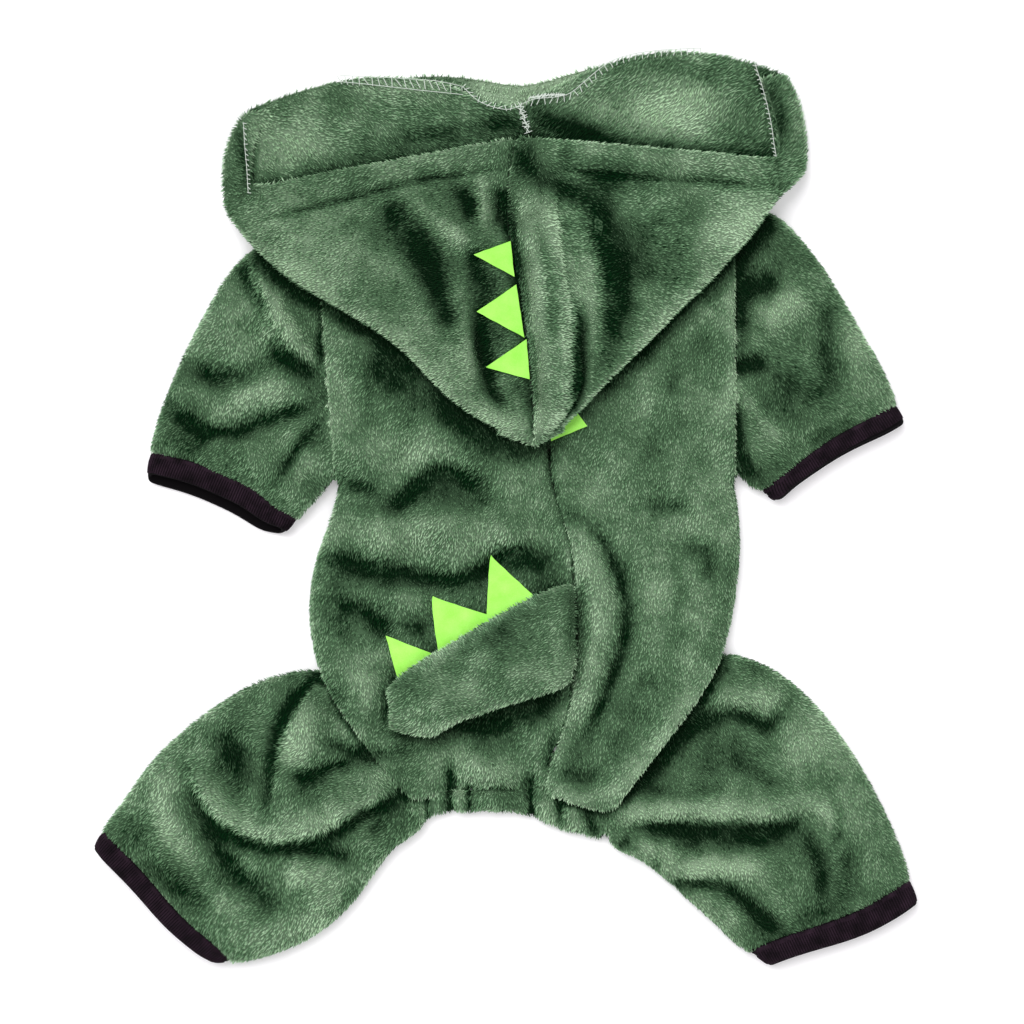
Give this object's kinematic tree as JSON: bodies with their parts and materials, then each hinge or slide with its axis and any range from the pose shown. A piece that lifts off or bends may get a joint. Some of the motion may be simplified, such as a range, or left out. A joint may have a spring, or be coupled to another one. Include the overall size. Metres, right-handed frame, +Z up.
{
  "type": "dinosaur dog costume",
  "caption": "Four-legged hooded fleece costume for a dog, laid flat, with felt spikes on hood, back and tail, rib-bound cuffs and an elastic hem.",
  "frame": {"origin": "middle of the underside that lies on the table", "axes": "+Z up from the table, +Y from the hem towards the neck and hood, +X across the garment"},
  "size_m": [0.3736, 0.4142, 0.0277],
  "materials": {
    "fleece": "short velvety pile, green, with soft light and dark patches",
    "rib_binding": "fine matt rib knit, near black",
    "felt": "matt needled felt, bright lime green",
    "thread": "white overlock thread"
  },
  "bodies": {
    "root": {"back_left": "fleece", "back_right": "fleece", "belly": "fleece", "sleeve_left": "fleece", "sleeve_right": "fleece", "leg_left": "fleece", "leg_right": "fleece", "cuff_front_left": "rib_binding", "cuff_front_right": "rib_binding", "cuff_hind_left": "rib_binding", "cuff_hind_right": "rib_binding", "hood_left": "fleece", "hood_right": "fleece", "tail_upper": "fleece", "tail_under": "fleece", "hem_casing": "fleece", "spike_hood_1": "felt", "spike_hood_2": "felt", "spike_hood_3": "felt", "spike_back_1": "felt", "spike_tail_1": "felt", "spike_tail_2": "felt", "spike_tail_3": "felt"}
  },
  "joints": []
}
